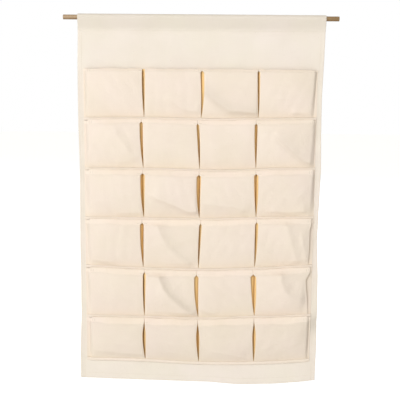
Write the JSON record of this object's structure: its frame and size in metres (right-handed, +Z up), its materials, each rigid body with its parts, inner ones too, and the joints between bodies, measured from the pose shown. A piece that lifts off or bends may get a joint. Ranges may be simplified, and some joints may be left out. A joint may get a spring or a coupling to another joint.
{
  "type": "hanging wall organizer",
  "caption": "Canvas wall organizer hung from a wooden dowel, with rows of box-pleated pockets sewn to a flat back panel.",
  "frame": {"origin": "middle of the dowel's axis, where the hooks on the wall hold it", "axes": "+X along the dowel to the viewer's right, +Z up, -Y out of the wall towards the viewer"},
  "size_m": [0.689, 0.0352, 0.9631],
  "materials": {
    "canvas": "undyed cotton canvas, plain weave, matt",
    "folded_canvas": "undyed cotton canvas in the folds behind the fronts",
    "pocket_canvas": "undyed cotton canvas, plain weave, lightly creased",
    "thread": "spun cotton sewing thread",
    "dowel_wood": "sanded pine, unvarnished, fine straight grain"
  },
  "bodies": {
    "dowel": {"dowel": "dowel_wood"},
    "sleeve": {"sleeve": "canvas", "sleeve_seam_thread": "thread"},
    "panel": {"back_panel": "canvas", "bottom_hem_thread": "thread", "left_hem_thread": "thread", "right_hem_thread": "thread", "row_1_pleats": "folded_canvas", "row_1_seam_thread": "thread", "row_2_pleats": "folded_canvas", "row_2_seam_thread": "thread", "row_3_pleats": "folded_canvas", "row_3_seam_thread": "thread", "row_4_pleats": "folded_canvas", "row_4_seam_thread": "thread", "row_5_pleats": "folded_canvas", "row_5_seam_thread": "thread", "row_6_pleats": "folded_canvas", "row_6_seam_thread": "thread"},
    "row_1_pocket_1": {"row_1_pocket_1_front": "pocket_canvas"},
    "row_1_pocket_2": {"row_1_pocket_2_front": "pocket_canvas"},
    "row_1_pocket_3": {"row_1_pocket_3_front": "pocket_canvas"},
    "row_1_pocket_4": {"row_1_pocket_4_front": "pocket_canvas"},
    "row_2_pocket_1": {"row_2_pocket_1_front": "pocket_canvas"},
    "row_2_pocket_2": {"row_2_pocket_2_front": "pocket_canvas"},
    "row_2_pocket_3": {"row_2_pocket_3_front": "pocket_canvas"},
    "row_2_pocket_4": {"row_2_pocket_4_front": "pocket_canvas"},
    "row_3_pocket_1": {"row_3_pocket_1_front": "pocket_canvas"},
    "row_3_pocket_2": {"row_3_pocket_2_front": "pocket_canvas"},
    "row_3_pocket_3": {"row_3_pocket_3_front": "pocket_canvas"},
    "row_3_pocket_4": {"row_3_pocket_4_front": "pocket_canvas"},
    "row_4_pocket_1": {"row_4_pocket_1_front": "pocket_canvas"},
    "row_4_pocket_2": {"row_4_pocket_2_front": "pocket_canvas"},
    "row_4_pocket_3": {"row_4_pocket_3_front": "pocket_canvas"},
    "row_4_pocket_4": {"row_4_pocket_4_front": "pocket_canvas"},
    "row_5_pocket_1": {"row_5_pocket_1_front": "pocket_canvas"},
    "row_5_pocket_2": {"row_5_pocket_2_front": "pocket_canvas"},
    "row_5_pocket_3": {"row_5_pocket_3_front": "pocket_canvas"},
    "row_5_pocket_4": {"row_5_pocket_4_front": "pocket_canvas"},
    "row_6_pocket_1": {"row_6_pocket_1_front": "pocket_canvas"},
    "row_6_pocket_2": {"row_6_pocket_2_front": "pocket_canvas"},
    "row_6_pocket_3": {"row_6_pocket_3_front": "pocket_canvas"},
    "row_6_pocket_4": {"row_6_pocket_4_front": "pocket_canvas"}
  },
  "joints": [
    {"name": "sleeve_slide", "type": "slide", "parent": "dowel", "child": "sleeve", "axis": [1, 0, 0], "range_m": [0, 0.66]},
    {"name": "panel_swing", "type": "hinge", "parent": "sleeve", "child": "panel", "pos_m": [0, 0, -0.0349], "axis": [-1, 0, 0], "range_deg": [0, 75]},
    {"name": "row_1_pocket_1_mouth", "type": "hinge", "parent": "panel", "child": "row_1_pocket_1", "pos_m": [-0.21425, -0.0054, -0.24635], "axis": [1, 0, -0.0019], "range_deg": [0, 8], "stiffness_Nm_per_rad": 0.15},
    {"name": "row_1_pocket_2_mouth", "type": "hinge", "parent": "panel", "child": "row_1_pocket_2", "pos_m": [-0.0695, -0.0054, -0.24667], "axis": [1, 0, -0.0025], "range_deg": [0, 8], "stiffness_Nm_per_rad": 0.15},
    {"name": "row_1_pocket_3_mouth", "type": "hinge", "parent": "panel", "child": "row_1_pocket_3", "pos_m": [0.07525, -0.0054, -0.24688], "axis": [1, 0, -0.0003], "range_deg": [0, 8], "stiffness_Nm_per_rad": 0.15},
    {"name": "row_1_pocket_4_mouth", "type": "hinge", "parent": "panel", "child": "row_1_pocket_4", "pos_m": [0.213, -0.0054, -0.24665], "axis": [1, 0, 0.0039], "range_deg": [0, 8], "stiffness_Nm_per_rad": 0.15},
    {"name": "row_2_pocket_1_mouth", "type": "hinge", "parent": "panel", "child": "row_2_pocket_1", "pos_m": [-0.21425, -0.0054, -0.37463], "axis": [1, 0, -0.0055], "range_deg": [0, 8], "stiffness_Nm_per_rad": 0.15},
    {"name": "row_2_pocket_2_mouth", "type": "hinge", "parent": "panel", "child": "row_2_pocket_2", "pos_m": [-0.072, -0.0054, -0.37556], "axis": [1, 0, -0.0075], "range_deg": [0, 8], "stiffness_Nm_per_rad": 0.15},
    {"name": "row_2_pocket_3_mouth", "type": "hinge", "parent": "panel", "child": "row_2_pocket_3", "pos_m": [0.072, -0.0054, -0.37619], "axis": [1, 0, -0.0013], "range_deg": [0, 8], "stiffness_Nm_per_rad": 0.15},
    {"name": "row_2_pocket_4_mouth", "type": "hinge", "parent": "panel", "child": "row_2_pocket_4", "pos_m": [0.21275, -0.0054, -0.37549], "axis": [0.9999, 0, 0.0115], "range_deg": [0, 8], "stiffness_Nm_per_rad": 0.15},
    {"name": "row_3_pocket_1_mouth", "type": "hinge", "parent": "panel", "child": "row_3_pocket_1", "pos_m": [-0.21225, -0.0054, -0.50301], "axis": [0.9999, 0, -0.0104], "range_deg": [0, 8], "stiffness_Nm_per_rad": 0.15},
    {"name": "row_3_pocket_2_mouth", "type": "hinge", "parent": "panel", "child": "row_3_pocket_2", "pos_m": [-0.07125, -0.0054, -0.50473], "axis": [0.9999, 0, -0.0139], "range_deg": [0, 8], "stiffness_Nm_per_rad": 0.15},
    {"name": "row_3_pocket_3_mouth", "type": "hinge", "parent": "panel", "child": "row_3_pocket_3", "pos_m": [0.0735, -0.0054, -0.50588], "axis": [1, 0, -0.0021], "range_deg": [0, 8], "stiffness_Nm_per_rad": 0.15},
    {"name": "row_3_pocket_4_mouth", "type": "hinge", "parent": "panel", "child": "row_3_pocket_4", "pos_m": [0.2165, -0.0054, -0.5045], "axis": [0.9998, 0, 0.0219], "range_deg": [0, 8], "stiffness_Nm_per_rad": 0.15},
    {"name": "row_4_pocket_1_mouth", "type": "hinge", "parent": "panel", "child": "row_4_pocket_1", "pos_m": [-0.2125, -0.0054, -0.63145], "axis": [0.9999, 0, -0.0161], "range_deg": [0, 8], "stiffness_Nm_per_rad": 0.15},
    {"name": "row_4_pocket_2_mouth", "type": "hinge", "parent": "panel", "child": "row_4_pocket_2", "pos_m": [-0.07275, -0.0054, -0.63409], "axis": [0.9998, 0, -0.0215], "range_deg": [0, 8], "stiffness_Nm_per_rad": 0.15},
    {"name": "row_4_pocket_3_mouth", "type": "hinge", "parent": "panel", "child": "row_4_pocket_3", "pos_m": [0.07225, -0.0054, -0.6359], "axis": [1, 0, -0.0036], "range_deg": [0, 8], "stiffness_Nm_per_rad": 0.15},
    {"name": "row_4_pocket_4_mouth", "type": "hinge", "parent": "panel", "child": "row_4_pocket_4", "pos_m": [0.215, -0.0054, -0.63383], "axis": [0.9994, 0, 0.0336], "range_deg": [0, 8], "stiffness_Nm_per_rad": 0.15},
    {"name": "row_5_pocket_1_mouth", "type": "hinge", "parent": "panel", "child": "row_5_pocket_1", "pos_m": [-0.21125, -0.0054, -0.75998], "axis": [0.9997, 0, -0.0228], "range_deg": [0, 8], "stiffness_Nm_per_rad": 0.15},
    {"name": "row_5_pocket_2_mouth", "type": "hinge", "parent": "panel", "child": "row_5_pocket_2", "pos_m": [-0.07125, -0.0054, -0.7637], "axis": [0.9995, 0, -0.0301], "range_deg": [0, 8], "stiffness_Nm_per_rad": 0.15},
    {"name": "row_5_pocket_3_mouth", "type": "hinge", "parent": "panel", "child": "row_5_pocket_3", "pos_m": [0.07325, -0.0054, -0.76618], "axis": [1, 0, -0.0047], "range_deg": [0, 8], "stiffness_Nm_per_rad": 0.15},
    {"name": "row_5_pocket_4_mouth", "type": "hinge", "parent": "panel", "child": "row_5_pocket_4", "pos_m": [0.21525, -0.0054, -0.7633], "axis": [0.9989, 0, 0.0472], "range_deg": [0, 8], "stiffness_Nm_per_rad": 0.15},
    {"name": "row_6_pocket_1_mouth", "type": "hinge", "parent": "panel", "child": "row_6_pocket_1", "pos_m": [-0.21025, -0.0054, -0.88859], "axis": [0.9995, 0, -0.0301], "range_deg": [0, 8], "stiffness_Nm_per_rad": 0.15},
    {"name": "row_6_pocket_2_mouth", "type": "hinge", "parent": "panel", "child": "row_6_pocket_2", "pos_m": [-0.069, -0.0054, -0.89352], "axis": [0.9992, 0, -0.0395], "range_deg": [0, 8], "stiffness_Nm_per_rad": 0.15},
    {"name": "row_6_pocket_3_mouth", "type": "hinge", "parent": "panel", "child": "row_6_pocket_3", "pos_m": [0.07475, -0.0054, -0.89675], "axis": [1, 0, -0.0056], "range_deg": [0, 8], "stiffness_Nm_per_rad": 0.15},
    {"name": "row_6_pocket_4_mouth", "type": "hinge", "parent": "panel", "child": "row_6_pocket_4", "pos_m": [0.2165, -0.0054, -0.89283], "axis": [0.998, 0, 0.0626], "range_deg": [0, 8], "stiffness_Nm_per_rad": 0.15}
  ]
}
